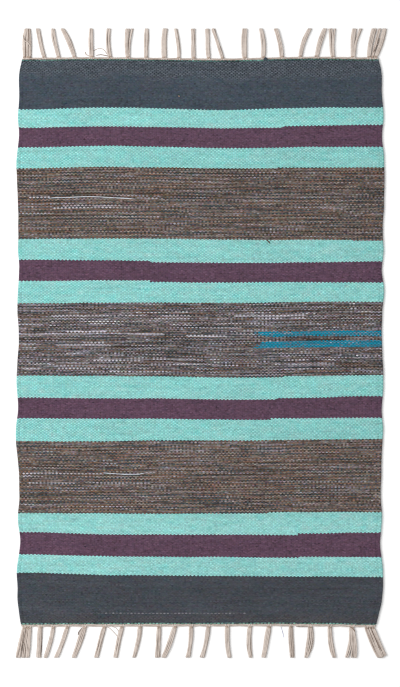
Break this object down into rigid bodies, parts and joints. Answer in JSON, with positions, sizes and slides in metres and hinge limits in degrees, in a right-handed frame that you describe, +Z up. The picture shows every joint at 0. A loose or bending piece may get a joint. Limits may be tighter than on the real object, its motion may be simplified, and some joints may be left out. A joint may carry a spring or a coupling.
{
  "type": "flat-woven kilim rug with knotted end fringes",
  "caption": "Flat rectangular weft-faced cotton rug with cross stripes and a knotted warp fringe at each short end; lies on a floor.",
  "frame": {"origin": "middle of the outer box, on the floor that the rug lies on", "axes": "+X across the rug along its weft, +Y along the rug to the end that is uppermost in the picture, +Z up out of the floor"},
  "size_m": [0.563, 0.952, 0.0046],
  "materials": {
    "cloth": "matte",
    "slate_yarn": "matte",
    "mint_yarn": "matte",
    "plum_yarn": "matte",
    "marl_yarn": "matte",
    "warp": "matte"
  },
  "bodies": {
    "root": {"rug_body": "cloth", "fringe_top": "warp", "fringe_bottom": "warp"}
  },
  "joints": []
}
